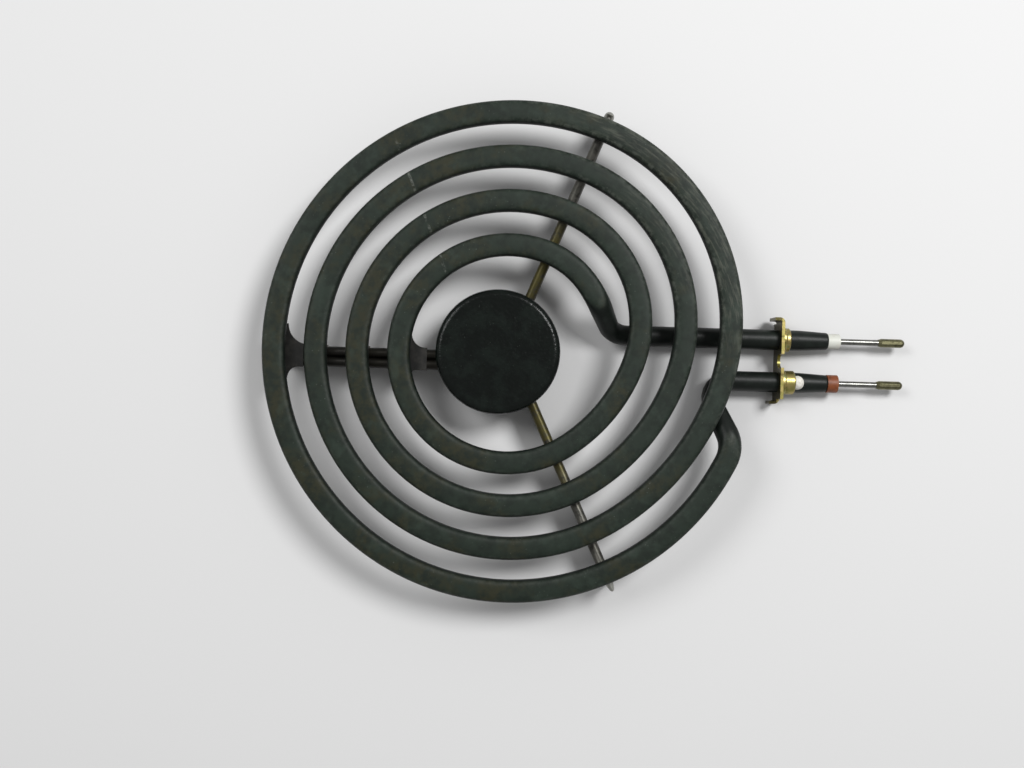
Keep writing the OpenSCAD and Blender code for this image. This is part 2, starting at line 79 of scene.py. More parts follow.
class Finish:
    """A node material under construction, read in object millimetres."""

    def __init__(self, name):
        self.material = bpy.data.materials.new(name)
        self.material.use_nodes = True
        self.tree = self.material.node_tree
        self.tree.nodes.clear()
        self.out = self.tree.nodes.new("ShaderNodeOutputMaterial")
        self.shader = self.tree.nodes.new("ShaderNodeBsdfPrincipled")
        self.link(self.shader.outputs["BSDF"], self.out.inputs["Surface"])
        place = self.tree.nodes.new("ShaderNodeTexCoord")
        self.millimetres = self.vector("MULTIPLY", place.outputs["Object"], (1 / MM,) * 3)

    def link(self, source, target):
        self.tree.links.new(source, target)

    def feed(self, target, value):
        """Sets a socket to a number or colour, or links it."""
        if isinstance(value, bpy.types.NodeSocket):
            self.link(value, target)
        elif target.type == "RGBA":
            target.default_value = tuple(value)[:3] + (1.0,)
        else:
            target.default_value = value

    def vector(self, operation, first, second=None):
        made = self.tree.nodes.new("ShaderNodeVectorMath")
        made.operation = operation
        self.feed(made.inputs[0], first)
        if second is not None:
            self.feed(made.inputs[1], second)
        return made.outputs["Value" if operation == "LENGTH" else "Vector"]

    def number(self, operation, first, second=0.0, third=0.0):
        made = self.tree.nodes.new("ShaderNodeMath")
        made.operation = operation
        for socket, value in zip(made.inputs, (first, second, third)):
            self.feed(socket, value)
        return made.outputs[0]

    def times(self, first, second):
        return self.number("MULTIPLY", first, second)

    def scaled(self, value, factor, plus):
        """A value times a factor, plus another."""
        return self.number("MULTIPLY_ADD", value, factor, plus)

    def axis(self, letter, source=None):
        made = self.tree.nodes.new("ShaderNodeSeparateXYZ")
        self.feed(made.inputs[0], source or self.millimetres)
        return made.outputs[letter]

    def placed(self, move=(0, 0, 0), turn=(0, 0, 0), scale=(1, 1, 1)):
        """Object millimetres, moved, turned and scaled."""
        made = self.tree.nodes.new("ShaderNodeMapping")
        made.vector_type = "TEXTURE"
        made.inputs["Location"].default_value = move
        made.inputs["Rotation"].default_value = turn
        made.inputs["Scale"].default_value = scale
        self.link(self.millimetres, made.inputs["Vector"])
        return made.outputs["Vector"]

    def round_about(self, centre, turn_length):
        """Distance from a centre, way round it and height. A radian counts as turn_length mm."""
        from_centre = self.placed(move=centre)
        made = self.tree.nodes.new("ShaderNodeCombineXYZ")
        flat = self.vector("MULTIPLY", from_centre, (1, 1, 0))
        bearing = self.number("ARCTAN2", self.axis("Y", from_centre), self.axis("X", from_centre))
        self.feed(made.inputs["X"], self.vector("LENGTH", flat))
        self.feed(made.inputs["Y"], self.times(bearing, turn_length))
        self.feed(made.inputs["Z"], self.axis("Z", from_centre))
        return made.outputs["Vector"]

    def noise(self, size, detail=3.0, rough=0.55, source=None, offset=0.0):
        """Noise from 0 to 1 whose blotches are about size millimetres wide."""
        made = self.tree.nodes.new("ShaderNodeTexNoise")
        made.noise_dimensions = "4D"
        made.inputs["W"].default_value = offset
        made.inputs["Scale"].default_value = 1.0 / size
        made.inputs["Detail"].default_value = detail
        made.inputs["Roughness"].default_value = rough
        self.link(source or self.millimetres, made.inputs["Vector"])
        return made.outputs["Fac"]

    def specks(self, spacing):
        """Dots scattered about spacing millimetres apart."""
        made = self.tree.nodes.new("ShaderNodeTexVoronoi")
        made.inputs["Scale"].default_value = 1.0 / spacing
        self.link(self.millimetres, made.inputs["Vector"])
        return made.outputs["Distance"]

    def step(self, value, low, high, start=0.0, end=1.0):
        """Goes smoothly from start, at low and beyond it, to end, at high and beyond it."""
        made = self.tree.nodes.new("ShaderNodeMapRange")
        made.interpolation_type = "SMOOTHSTEP"
        self.feed(made.inputs["Value"], value)
        for name, number in (("From Min", low), ("From Max", high), ("To Min", start), ("To Max", end)):
            made.inputs[name].default_value = number
        return made.outputs["Result"]

    def mix(self, amount, first, second):
        made = self.tree.nodes.new("ShaderNodeMix")
        made.data_type = "RGBA"
        self.feed(made.inputs["Factor"], amount)
        self.feed(made.inputs[6], first)
        self.feed(made.inputs[7], second)
        return made.outputs[2]

    def cover(self, base, colour, where, strength):
        """Lays a colour over a base where a mask says, as strongly as told."""
        return self.mix(self.times(where, strength), base, colour)

    def ramp(self, value, stops):
        """A colour ramp. Stops are (place, colour)."""
        made = self.tree.nodes.new("ShaderNodeValToRGB")
        points = made.color_ramp.elements
        while len(points) < len(stops):
            points.new(0.5)
        for point, (place, colour) in zip(points, stops):
            point.position = place
            point.color = tuple(colour)[:3] + (1.0,)
        self.feed(made.inputs["Fac"], value)
        return made.outputs["Color"]

    def bump(self, height, depth):
        """Bump of about depth millimetres."""
        made = self.tree.nodes.new("ShaderNodeBump")
        made.inputs["Strength"].default_value = 1.0
        made.inputs["Distance"].default_value = depth * MM
        self.feed(made.inputs["Height"], height)
        return made.outputs["Normal"]

    def set(self, **sockets):
        """Sets the shader's sockets by name, with underscores for spaces."""
        for name, value in sockets.items():
            self.feed(self.shader.inputs[name.replace("_", " ")], value)
        return self


def shade(colour, amount):
    """A colour made lighter or darker by a factor."""
    return tuple(channel * amount for channel in tuple(colour)[:3])


# ---------------------------------------------------------------- mesh helpers


# Points nearer than this are one point, mm.
MERGE_DISTANCE = 0.002


def finished_piece(name, mesh_maker, material, node, sharp_angle=math.pi):
    """Turns a mesh made in millimetres into a piece that stands for a CAD node."""
    bmesh.ops.remove_doubles(mesh_maker, verts=mesh_maker.verts, dist=MERGE_DISTANCE)
    bmesh.ops.recalc_face_normals(mesh_maker, faces=mesh_maker.faces)
    bmesh.ops.scale(mesh_maker, vec=(MM, MM, MM), verts=mesh_maker.verts)
    mesh = bpy.data.meshes.new(name)
    mesh_maker.to_mesh(mesh)
    mesh_maker.free()
    mesh.materials.append(material)
    mesh.shade_smooth()
    if sharp_angle < math.pi:
        mesh.set_sharp_from_angle(angle=sharp_angle)
    piece = bpy.data.objects.new(name, mesh)
    bpy.context.scene.collection.objects.link(piece)
    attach(piece, BODY)
    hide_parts(node)
    return piece


def coat(material, *nodes):
    """Gives CAD nodes their finish."""
    for node in nodes:
        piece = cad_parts[node]
        if not piece.material_slots:
            piece.data.materials.append(material)
        for place in piece.material_slots:
            place.material = material


def only(kind, parts):
    return [part for part in parts if isinstance(part, kind)]


def middle_of(verts):
    return sum((vert.co for vert in verts), Vector()) / len(verts)


def circle_at(mesh_maker, centre, heading, radius, segments):
    """A ring of edges round a point, square to a heading."""
    turn = Vector(heading).to_track_quat("Z", "Y").to_matrix().to_4x4()
    made = bmesh.ops.create_circle(
        mesh_maker, cap_ends=False, segments=segments, radius=radius,
        matrix=Matrix.Translation(centre) @ turn,
    )
    edges = {edge for vert in made["verts"] for edge in vert.link_edges}
    return list(made["verts"]) + list(edges)


def run_round(mesh_maker, ring, centre, axis, angle, steps):
    """Carries a ring round an axis."""
    made = bmesh.ops.spin(
        mesh_maker, geom=ring, cent=centre, axis=axis, dvec=(0, 0, 0), angle=angle,
        steps=steps, use_merge=False, use_normal_flip=False, use_duplicate=False,
    )
    return made["geom_last"]


def run_on(mesh_maker, ring, offset, factor=1.0):
    """Carries a ring straight on, and sizes it by a factor about its middle."""
    made = bmesh.ops.extrude_edge_only(mesh_maker, edges=only(bmesh.types.BMEdge, ring))
    verts = only(bmesh.types.BMVert, made["geom"])
    new = set(verts)
    bmesh.ops.translate(mesh_maker, verts=verts, vec=offset)
    if factor != 1.0:
        space = Matrix.Translation(-middle_of(verts))
        bmesh.ops.scale(mesh_maker, vec=(factor,) * 3, verts=verts, space=space)
    edges = {e for v in verts for e in v.link_edges if e.verts[0] in new and e.verts[1] in new}
    return verts + list(edges)


# ---------------------------------------------------------------- sizes and colours


def size(name, description, default, low, high):
    return FloatProperty(name=name, description=description, default=default, min=low, max=high)


def colour(name, description, default):
    return FloatVectorProperty(
        name=name, description=description, default=default, subtype="COLOR", min=0, max=1
    )


class CoilSizes(bpy.types.PropertyGroup):
    turns: IntProperty(name="Turns", description="Turns of the spiral", default=4, min=3, max=4)
    pitch: size("Pitch", "Distance between turns, mm", 13.7, 12.5, 15)
    outer_radius: size("Outer radius", "Radius of the outer turn on its long side, mm", 75.5, 74, 95)
    tighten: size("Tighten", "How much less the radius is where a turn curves in, mm", 10.5, 8, 12)
    ease: size("Ease", "How much more the radius is where a turn eases in, mm", 4.5, 2, 6)
    turned: size("Turned", "How far the spiral is turned, degrees", -19.5, -25, -15)
    tube_radius: size("Tube radius", "Radius of the tube in the spiral, mm", 3.65, 3, 4)
    leg_radius: size("Leg radius", "Radius of the tube in the legs, mm", 3.3, 2.8, 3.6)
    end_radius: size("End radius", "Radius of the tube's swaged ends, mm", 2.8, 2.5, 3)
    wall: size("Wall", "Wall of the tube, mm", 0.8, 0.5, 0.9)
    flat_edge: size("Flat edge", "Softness of the edge of the pressed flat, mm", 1.5, 0.1, 2)


class StripSizes(bpy.types.PropertyGroup):
    width: size("Width", "Width of a folded strip, mm", 3.2, 2.8, 3.6)
    sheet: size("Sheet", "Thickness of the strips' sheet, mm", 0.7, 0.5, 0.9)
    corner_bend: size("Corner bend", "Radius of the bend under the medallion, mm", 2.6, 2, 4)
    nose: size("Nose", "Length shown outside the outer turn, mm", 3.8, 3, 6)
    nose_rise: size("Nose rise", "How far the noses stand above the strips, mm", 0.9, 0, 1.5)


class Finishes(bpy.types.PropertyGroup):
    oxide: colour("Oxide", "Flat top of the heater tube", (0.0135, 0.0215, 0.0150))
    # Dark oxide with painted shade, for the sides and legs of the heater tube.
    oxide_dark_and_shade: colour("Dark oxide", "Sides and legs of the heater tube", (0.0060, 0.0085, 0.0068))
    enamel: colour("Enamel", "Medallion", (0.0026, 0.0040, 0.0032))
    tint_hub: colour("Heat tint", "Support strips beside the medallion", (0.070, 0.060, 0.016))
    tint_rim: colour("Grey tint", "Support strips at the rim", (0.105, 0.102, 0.088))
    zinc: colour("Zinc", "Bracket and collars", (0.36, 0.32, 0.10))
    seal: colour("Seal", "Rubber seal", (0.215, 0.056, 0.014))
    steatite: colour("Steatite", "Ceramic bushing", (0.66, 0.67, 0.61))
    pin: colour("Pin", "Terminal pins", (0.22, 0.22, 0.205))
    tip: colour("Tip", "Contact tips", (0.20, 0.19, 0.105))
    floor: colour("Floor", "Studio floor", (0.74, 0.74, 0.74))


# ---------------------------------------------------------------- finishes


# Heights on the heater tube, mm: the flat's painted shading, and the shoulders where it is rubbed and
# painted with a highlight.
FLAT_SHADING = (17.6, 18.9)
SHOULDER_START = (17.7, 18.4)
SHOULDER_END = (18.98, 18.7)
# Along X, mm: from the cool side of the coil to its hottest side.
HOT_SIDE = (35, -60)
# Along the way to the upper right, towards the key lamp, mm: where the coil is rubbed and painted with
# a highlight at its shoulders and on its flat.
RUB_AND_HIGHLIGHT_WAY_Y = 0.7
SHOULDER_RUB_AND_HIGHLIGHT = (40, 85)
FLAT_RUB_AND_HIGHLIGHT = (66, 88)
# The streaks' pattern: the length that one radian round the spiral counts as, mm.
STREAK_RADIAN = 9.0
# The scratch: its middle and direction, and how far from them it fades.
SCRATCH_AT = (-25, 44, 0)
SCRATCH_TURN = math.radians(112.5)
SCRATCH_WIDTH = (0.6, 0.15)
SCRATCH_LENGTH = (24, 21)


def oxide_finish(looks):
    """Heat-darkened steel: matt flats, sides and legs darker with dark oxide and painted shade,
    patches, flecks, wear with a painted highlight on the upper right, and a long scratch.
    """
    f = Finish("oxide_finish")
    height = f.axis("Z")
    top = f.step(height, *FLAT_SHADING)
    patches = f.noise(15, 4, 0.6)
    blotches = f.noise(3.4, 4, 0.65, offset=3.0)
    grain = f.noise(0.4, 2, 0.6, offset=7.0)

    # The side away from the legs has been hotter, and is browner.
    heat_brown, grey_green = (0.024, 0.024, 0.011), (0.026, 0.039, 0.029)
    hot = f.step(f.axis("X"), *HOT_SIDE)
    rust = f.step(f.scaled(hot, 0.10, patches), 0.50, 0.66)
    flat = f.cover(looks.oxide, heat_brown, rust, 0.85)
    flat = f.mix(f.step(blotches, 0.40, 0.66), flat, shade(looks.oxide, 0.66))
    clouds = f.step(f.noise(5.5, 3, 0.6, offset=13.0), 0.50, 0.70)
    flat = f.cover(flat, grey_green, clouds, 0.55)
    # The sides and legs are dark oxide, darkened further as painted shade; the flat top stays lighter,
    # partly from wear and partly as the lit face.
    side = f.mix(f.step(blotches, 0.45, 0.7), looks.oxide_dark_and_shade, shade(looks.oxide_dark_and_shade, 1.8))
    base = f.mix(top, side, flat)

    # Pale flecks, in drifts.
    pale_fleck = (0.115, 0.135, 0.115)
    drift = f.step(f.noise(8, 3, 0.6, offset=11.0), 0.47, 0.66)
    fleck = f.times(f.step(f.specks(1.3), 0.15, 0.05), drift)
    base = f.cover(base, pale_fleck, fleck, 0.6)

    # Shoulders of the flat: pale wear, with a painted highlight that is strongest on the far right of
    # the outer turn.
    worn_and_highlit_shoulder = (0.085, 0.095, 0.080)
    shoulder = f.times(f.step(height, *SHOULDER_START), f.step(height, *SHOULDER_END))
    reach = f.number("ADD", f.axis("X"), f.times(f.axis("Y"), RUB_AND_HIGHLIGHT_WAY_Y))
    broken = f.step(f.noise(2.0, 4, 0.7, offset=5.0), 0.42, 0.64)
    wear = f.times(f.times(shoulder, broken), f.step(reach, *SHOULDER_RUB_AND_HIGHLIGHT, 0.30, 1.0))
    base = f.cover(base, worn_and_highlit_shoulder, wear, 0.6)

    # Streaks of rubbing that follow the outer turn, brightened on its upper right as a painted
    # highlight.
    rubbed_and_highlit_flat = (0.095, 0.100, 0.078)
    streaks = f.noise(1.0, 4, 0.7, source=f.round_about(SPIRAL_AT, STREAK_RADIAN), offset=9.0)
    rubbed = f.times(f.step(reach, *FLAT_RUB_AND_HIGHLIGHT), f.step(streaks, 0.47, 0.66))
    base = f.cover(base, rubbed_and_highlit_flat, f.times(rubbed, top), 0.55)

    # One long scratch that crosses the turns.
    bare_scratch = (0.17, 0.18, 0.16)
    along = f.placed(move=SCRATCH_AT, turn=(0, 0, SCRATCH_TURN))
    on_line = f.step(f.number("ABSOLUTE", f.axis("Y", along)), *SCRATCH_WIDTH)
    in_reach = f.step(f.number("ABSOLUTE", f.axis("X", along)), *SCRATCH_LENGTH)
    scratch = f.times(f.times(on_line, in_reach), f.times(broken, top))
    base = f.cover(base, bare_scratch, scratch, 0.6)

    rough = f.number("ADD", f.step(top, 0, 1, 0.34, 0.46), f.times(grain, 0.16))
    relief = f.number("ADD", f.times(grain, 0.4), f.times(blotches, 0.6))
    return f.set(
        Base_Color=base, Roughness=rough, Metallic=0.0, Specular_IOR_Level=0.24,
        Normal=f.bump(relief, 0.07),
    ).material


def enamel_finish(looks):
    """Black enamel with an orange-peel skin and grey specks."""
    f = Finish("enamel_finish")
    grey_speck = (0.060, 0.075, 0.062)
    peel = f.noise(1.1, 3, 0.6)
    patches = f.noise(6, 4, 0.65, offset=2.0)
    base = f.mix(f.step(patches, 0.42, 0.66), looks.enamel, shade(looks.enamel, 2.2))
    dust = f.step(f.specks(1.0), 0.17, 0.05)
    sparse = f.step(f.noise(2.6, 3, 0.6, offset=4.0), 0.50, 0.66)
    base = f.cover(base, grey_speck, f.times(dust, sparse), 0.6)
    relief = f.number("ADD", peel, f.times(patches, 0.5))
    return f.set(
        Base_Color=base, Roughness=f.scaled(peel, 0.22, 0.12), Specular_IOR_Level=0.2,
        Normal=f.bump(relief, 0.13),
    ).material


# Distances from the medallion's middle, mm: where the heat tint changes, and where the noses, with
# their painted highlight, begin.
TINT_REACH = (15, 85)
NOSE_HIGHLIGHT_REACH = (79.5, 81)
# Heights, mm: the tops of the noses, which get a painted highlight, and where painted shade darkens the
# strips towards their feet.
NOSE_HIGHLIGHT_TOP = (12.4, 13.2)
STRIP_SHADE_HEIGHTS = (12.2, 8.0)
# Along X, mm: where the double arm, painted near black as shade under the coil, ends.
SHADED_DOUBLE_ARM = (-22, -8)


def tinted_finish(looks):
    """Stainless strip with heat tint that fades outwards from the medallion."""
    f = Finish("tinted_finish")
    reach = f.vector("LENGTH", f.vector("MULTIPLY", f.millimetres, (1, 1, 0)))
    wander = f.scaled(f.noise(6, 3, 0.6), 26, -13)
    place = f.step(f.number("ADD", reach, wander), *TINT_REACH)
    tint = f.ramp(place, (
        (0.0, shade(looks.tint_hub, 0.75)),
        (0.25, looks.tint_hub),
        (0.6, looks.tint_rim),
        (1.0, shade(looks.tint_rim, 0.8)),
    ))
    sooty = f.step(f.noise(2.2, 4, 0.65, offset=8.0), 0.46, 0.66)
    base = f.mix(sooty, tint, shade(looks.tint_rim, 0.3))

    # Painted shade: the double arm under the coil turns is painted near black, and the strips are
    # darker towards their feet.
    painted_arm_shade, painted_foot_shade = (0.012, 0.011, 0.009), (0.02, 0.018, 0.014)
    base = f.cover(base, painted_arm_shade, f.step(f.axis("X"), *SHADED_DOUBLE_ARM, 1.0, 0.0), 0.95)
    base = f.cover(base, painted_foot_shade, f.step(f.axis("Z"), *STRIP_SHADE_HEIGHTS), 0.7)

    # The noses get a painted highlight.
    painted_nose_highlight = (0.34, 0.34, 0.31)
    nose = f.times(f.step(reach, *NOSE_HIGHLIGHT_REACH), f.step(f.axis("Z"), *NOSE_HIGHLIGHT_TOP))
    base = f.cover(base, painted_nose_highlight, nose, 0.85)
    drawn = f.noise(0.8, 2, 0.6, offset=5.0)
    return f.set(
        Base_Color=base, Metallic=0.6, Roughness=f.scaled(drawn, 0.2, 0.32),
        Specular_IOR_Level=0.4, Normal=f.bump(drawn, 0.03),
    ).material


def dark_steel_finish():
    """Blackened sheet for the clips, darkened further with painted shade."""
    f = Finish("dark_steel_finish")
    black, worn_black = (0.006, 0.006, 0.005), (0.018, 0.017, 0.014)
    patches = f.noise(2.5, 4, 0.6)
    return f.set(
        Base_Color=f.mix(f.step(patches, 0.42, 0.66), black, worn_black), Metallic=0.3,
        Roughness=f.scaled(patches, 0.3, 0.35), Normal=f.bump(patches, 0.04),
    ).material


# The bracket's heights from its top to its foot, darkened with painted shade, mm, and the depth of its
# back, painted dark as shade.
BRACKET_SHADE_HEIGHTS = (9.6, 3.0)
BRACKET_SHADED_BACK = (BRACKET_FACE - 0.9, BRACKET_FACE - 1.0)


def zinc_finish(looks):
    """Yellow-passivated zinc with its faint rainbow."""
    f = Finish("zinc_finish")
    orange_film, green_film = (0.46, 0.36, 0.14), (0.33, 0.36, 0.15)
    film = f.noise(3.4, 3, 0.6)
    base = f.ramp(film, (
        (0.30, shade(looks.zinc, 0.75)),
        (0.45, looks.zinc),
        (0.56, orange_film),
        (0.66, green_film),
    ))
    grime = f.step(f.noise(1.6, 4, 0.7, offset=6.0), 0.52, 0.70)
    base = f.cover(base, shade(looks.zinc, 0.14), grime, 0.75)
    # Painted shade: darker towards the bracket's foot, and dark on its back face, away from the lamps.
    base = f.cover(base, shade(looks.zinc, 0.12), f.step(f.axis("Z"), *BRACKET_SHADE_HEIGHTS), 0.5)
    painted_back_shade = (0.035, 0.030, 0.014)
    base = f.cover(base, painted_back_shade, f.step(f.axis("X"), *BRACKET_SHADED_BACK), 0.8)
    fine = f.noise(0.5, 2, 0.6, offset=3.0)
    return f.set(
        Base_Color=base, Metallic=0.85, Roughness=f.scaled(fine, 0.22, 0.22),
        Normal=f.bump(fine, 0.025),
    ).material


def silicone_finish(looks):
    """Moulded rubber, a little mottled."""
    f = Finish("silicone_finish")
    patches = f.noise(1.6, 3, 0.6)
    base = f.mix(f.step(patches, 0.4, 0.7), looks.seal, shade(looks.seal, 0.62))
    return f.set(
        Base_Color=base, Roughness=f.scaled(patches, 0.15, 0.42), Subsurface_Weight=0.08,
        Normal=f.bump(f.noise(0.5, 2, 0.5), 0.03),
    ).material


def steatite_finish(looks):
    """Unglazed ceramic with brown stains."""
    f = Finish("steatite_finish")
    brown_stain = (0.52, 0.48, 0.40)
    grain = f.noise(0.4, 3, 0.6)
    stain = f.step(f.noise(2.2, 4, 0.65, offset=4.0), 0.48, 0.72)
    return f.set(
        Base_Color=f.cover(looks.steatite, brown_stain, stain, 0.4),
        Roughness=f.scaled(grain, 0.2, 0.38), Normal=f.bump(grain, 0.02),
    ).material


def mottled_finish(name, pattern, colours, change, depth, **sockets):
    """A finish that goes from one colour to another with the lumps of its own pattern."""
    f = Finish(name)
    lumps = f.noise(*pattern)
    amount = f.step(lumps, *change) if change else lumps
    f.set(Base_Color=f.mix(amount, *colours), Normal=f.bump(lumps, depth))
    return f.set(**sockets).material


def cement_finish():
    """Dry white cement."""
    return mottled_finish(
        "cement_finish", (0.7, 4, 0.65), ((0.80, 0.78, 0.72), (0.58, 0.55, 0.48)), (0.4, 0.7), 0.16,
        Roughness=0.85,
    )


def magnesia_finish():
    """Packed white powder."""
    return mottled_finish(
        "magnesia_finish", (0.3, 3, 0.7), ((0.82, 0.81, 0.78), (0.68, 0.66, 0.62)), None, 0.05,
        Roughness=0.9,
    )


def resistance_finish():
    """Heating alloy with the lumps of its close winding."""
    return mottled_finish(
        "resistance_finish", (0.6, 2, 0.5), ((0.33, 0.31, 0.29), (0.20, 0.185, 0.17)), None, 0.08,
        Metallic=0.9, Roughness=0.45,
    )


def pin_finish(looks):
    """Bright drawn steel, with fine lines round it."""
    f = Finish("pin_finish")
    lines = f.noise(1.0, 2, 0.6, source=f.placed(scale=(0.12, 3, 3)))
    smudge = f.noise(2.6, 3, 0.6, offset=2.0)
    base = f.mix(f.step(smudge, 0.45, 0.7), looks.pin, shade(looks.pin, 0.6))
    return f.set(
        Base_Color=base, Metallic=1.0, Roughness=f.scaled(lines, 0.2, 0.2),
        Normal=f.bump(lines, 0.015),
    ).material


def tip_finish(looks):
    """Tarnished contact metal."""
    f = Finish("tip_finish")
    tarnish = f.noise(1.8, 4, 0.62)
    base = f.mix(f.step(tarnish, 0.38, 0.64), looks.tip, shade(looks.tip, 0.45))
    worn = f.step(f.noise(0.9, 3, 0.6, offset=6.0), 0.60, 0.72)
    base = f.cover(base, shade(looks.pin, 0.85), worn, 0.5)
    return f.set(
        Base_Color=base, Metallic=0.9, Roughness=f.scaled(tarnish, 0.25, 0.2),
        Normal=f.bump(tarnish, 0.03),
    ).material


def plain_steel_finish():
    """Rolled steel, a little stained."""
    f = Finish("plain_steel_finish")
    steel, stained_steel = (0.22, 0.20, 0.17), (0.09, 0.082, 0.07)
    patches = f.noise(2.4, 4, 0.6)
    return f.set(
        Base_Color=f.mix(f.step(patches, 0.4, 0.66), steel, stained_steel), Metallic=0.8,
        Roughness=f.scaled(patches, 0.25, 0.3), Normal=f.bump(patches, 0.03),
    ).material


# ---------------------------------------------------------------- heater tube


# The spiral's arcs, the same four in each turn: their sweeps, in degrees, and the way in which the
# centre moves from one arc to the next. A 3-4-5 triangle gives the eased arc.
OUTER_START = -8.0
EASE_ANGLE = 36.8699
ARC_SWEEPS = (90.0, EASE_ANGLE, 90.0 - EASE_ANGLE, 180.0)
ARC_STEPS = ((0, 1), (1, 0), (0.8, -0.6), (0, -1))
ARCS_PER_TURN = len(ARC_SWEEPS)
INNER_BEND = 28.0
# Height of the pressed flat above the tube's centre line.
FLAT_HEIGHT = 2.35
# The legs: level lead, foot of the drop, terminal line and the two bends.
LEADS = {"lower": 7.5, "upper": 4.0}
LEAST_LEAD = 0.2
FOOT_X = {"lower": 66.5, "upper": 37.0}
LEG_Y = {"lower": -6.9, "upper": 6.9}
LEG_Z = 4.6
DROP_BEND = 10.0
FOOT_BEND = 7.0
# Where the swaging starts, and where each leg's tube ends, along X.
SWAGE_START = 97.5
TUBE_ENDS = {"upper": 107.2, "lower": 107.3}
# Swaged outside: (past the start, less than the leg's radius), then (before the end, less than
# the end's radius).
SWAGE_TAPER = ((0.6, 0.02), (3.5, 0.17))
ROLLED_END = ((1.4, -0.03), (0.55, 0.0), (0.25, 0.08), (0.07, 0.22), (0.0, 0.40))
# The bore: how far past the start it is reached, and its mouth in the same way as the rolled end.
BORE_START = 0.1
BORE_MOUTH = ((0.2, 0.0), (0.05, -0.08))
# Fineness of the two skins: distance between rings, and points in a ring.
OUTER_SPACING, INNER_SPACING = 2.2, 5.0
RING_POINTS = 48
TAPER_STEPS = 4
STRAIGHT_STEP = 6


def spiral_arcs(coil):
    """(centre, radius, sweep) of each arc inwards from the outer end, in the spiral's own frame."""
    radius, centre = coil.outer_radius, Vector((0, 0))
    arcs = [(centre.copy(), radius, 270.0 + OUTER_START)]
    turn_radii = (
        coil.outer_radius - coil.tighten,
        coil.outer_radius + coil.ease,
        coil.outer_radius - coil.pitch,
        coil.outer_radius - coil.pitch,
    )
    for index in range(ARCS_PER_TURN * (coil.turns - 1)):
        part = index % ARCS_PER_TURN
        new = turn_radii[part] - coil.pitch * (index // ARCS_PER_TURN)
        centre = centre + (radius - new) * Vector(ARC_STEPS[part])
        radius = new
        arcs.append((centre.copy(), radius, ARC_SWEEPS[part]))
    centre = centre + (radius - INNER_BEND) * Vector((0, 1))
    arcs.append((centre.copy(), INNER_BEND, EASE_ANGLE))
    return arcs


def level_with(value, limit, softness):
    """The smaller of two numbers, with a rounded change between them."""
    share = min(max(0.5 + 0.5 * (limit - value) / softness, 0.0), 1.0)
    return limit + (value - limit) * share - softness * share * (1.0 - share)


def bend_onto(mesh_maker, ring, corner, into, out, radius, spacing, least_steps):
    """Bends the tube round a corner of its path, starting at the bend's near end."""
    angle = into.angle(out)
    side_way = (out - out.dot(into) * into).normalized()
    centre = corner - into * radius * math.tan(angle / 2) + side_way * radius
    steps = max(least_steps, round(angle * radius / spacing))
    return run_round(mesh_maker, ring, centre, into.cross(out), angle, steps)


def tube_leg(mesh_maker, ring, start, heading, side, radii, spacing):
    """Carries the tube from the spiral's end down to its terminal line and along it."""
    coil_radius, leg_radius = radii
    first = Vector(start)
    lead = first + Vector(heading) * LEADS[side]
    foot = Vector((FOOT_X[side], LEG_Y[side], LEG_Z))
    end = Vector((SWAGE_START, LEG_Y[side], LEG_Z))
    into, down, out = ((b - a).normalized() for a, b in ((first, lead), (lead, foot), (foot, end)))
    # The bend at the top starts no earlier than the spiral ends.
    half_drop = math.tan(into.angle(down) / 2)
    drop_bend = min(DROP_BEND, ((lead - first).length - LEAST_LEAD) / half_drop)
    drop_inset = drop_bend * half_drop
    foot_inset = FOOT_BEND * math.tan(down.angle(out) / 2)

    ring = run_on(mesh_maker, ring, into * ((lead - first).length - drop_inset))
    ring = bend_onto(mesh_maker, ring, lead, into, down, drop_bend, spacing, 8)
    drop = (foot - lead).length - drop_inset - foot_inset
    for step in range(TAPER_STEPS):
        before = coil_radius + (leg_radius - coil_radius) * step / TAPER_STEPS
        after = coil_radius + (leg_radius - coil_radius) * (step + 1) / TAPER_STEPS
        ring = run_on(mesh_maker, ring, down * drop / TAPER_STEPS, after / before)
    ring = bend_onto(mesh_maker, ring, foot, down, out, FOOT_BEND, spacing, 8)
    length = (end - foot).length - foot_inset
    steps = max(2, round(length / STRAIGHT_STEP))
    for _ in range(steps):
        ring = run_on(mesh_maker, ring, out * length / steps)
    return ring


def tube_skin(mesh_maker, coil, inset, spacing):
    """One skin of the tube, from one swaging point to the other. Gives its two end rings."""
    coil_z = COOKING_HEIGHT - FLAT_HEIGHT
    radii = (coil.tube_radius - inset, coil.leg_radius - inset)
    turned = Matrix.Rotation(math.radians(coil.turned), 4, "Z")
    to_part = Matrix.Translation(SPIRAL_AT) @ turned
    bearing = math.radians(OUTER_START)
    outward = Vector((math.cos(bearing), math.sin(bearing), 0))
    start = to_part @ (outward * coil.outer_radius + Vector((0, 0, coil_z)))
    heading = to_part.to_3x3() @ Vector((-outward.y, outward.x, 0))
    first = circle_at(mesh_maker, start, heading, radii[0], RING_POINTS)

    ring, place, way = first, start, -heading
    for centre, arc_radius, sweep in spiral_arcs(coil):
        angle = math.radians(sweep)
        middle = to_part @ Vector((centre.x, centre.y, coil_z))
        steps = max(3, round(angle * arc_radius / spacing))
        ring = run_round(mesh_maker, ring, middle, (0, 0, -1), angle, steps)
        turn = Matrix.Rotation(-angle, 4, "Z")
        place = middle + turn @ (place - middle)
        way = turn @ way
    ends = {
        "upper": tube_leg(mesh_maker, ring, place, way, "upper", radii, spacing),
        "lower": tube_leg(mesh_maker, first, start, heading, "lower", radii, spacing),
    }
    # The press flattens this skin only: a vertex with a tag has been pressed before.
    press = COOKING_HEIGHT - inset
    for vert in mesh_maker.verts:
        if not vert.tag:
            vert.co.z = level_with(vert.co.z, press, coil.flat_edge)
            vert.tag = True
    return ends


